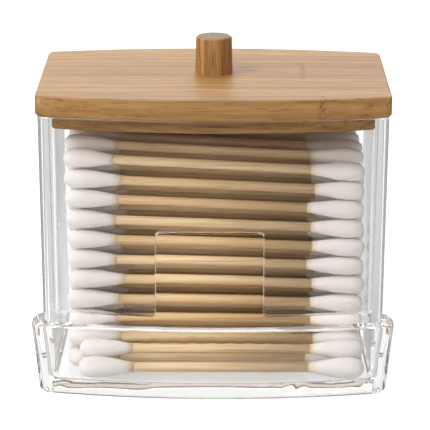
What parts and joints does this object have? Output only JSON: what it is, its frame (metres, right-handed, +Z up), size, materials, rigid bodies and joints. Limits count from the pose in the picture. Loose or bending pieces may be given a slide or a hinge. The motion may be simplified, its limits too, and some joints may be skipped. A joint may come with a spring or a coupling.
{
  "type": "cotton swab holder",
  "caption": "Clear box with a dispensing trough, a bamboo lid with a knob, and a filling of cotton swabs lying across it.",
  "frame": {"origin": "on the ground, under the middle of the whole footprint, trough and lid included", "axes": "+Z up, -Y towards the front with the trough, +X to the right seen from the front, along the swabs"},
  "size_m": [0.0892, 0.0699, 0.0837],
  "materials": {
    "clear_acrylic": "polished, clear",
    "lid_bamboo": "sanded, satin",
    "stick_bamboo": "smooth, unvarnished",
    "cotton": "wound fibre, matt",
    "screw_steel": "zinc plated"
  },
  "bodies": {
    "holder": {"clear_box": "clear_acrylic", "swab_sticks_layer_01": "stick_bamboo", "swab_sticks_layer_02": "stick_bamboo", "swab_sticks_layer_03": "stick_bamboo", "swab_sticks_layer_04": "stick_bamboo", "swab_sticks_layer_05": "stick_bamboo", "swab_sticks_layer_06": "stick_bamboo", "swab_sticks_layer_07": "stick_bamboo", "swab_sticks_layer_08": "stick_bamboo", "swab_sticks_layer_09": "stick_bamboo", "swab_sticks_layer_10": "stick_bamboo", "swab_sticks_layer_11": "stick_bamboo", "trough_swab_sticks": "stick_bamboo", "cotton_tips_layer_01": "cotton", "cotton_tips_layer_02": "cotton", "cotton_tips_layer_03": "cotton", "cotton_tips_layer_04": "cotton", "cotton_tips_layer_05": "cotton", "cotton_tips_layer_06": "cotton", "cotton_tips_layer_07": "cotton", "cotton_tips_layer_08": "cotton", "cotton_tips_layer_09": "cotton", "cotton_tips_layer_10": "cotton", "cotton_tips_layer_11": "cotton", "trough_cotton_tips": "cotton"},
    "lid": {"lid_plate": "lid_bamboo", "lid_plug": "lid_bamboo", "knob": "lid_bamboo", "knob_screw": "screw_steel"}
  },
  "joints": [
    {"name": "lid_lift", "type": "slide", "parent": "holder", "child": "lid", "axis": [0, 0, 1], "range_m": [0, 0.06]}
  ]
}
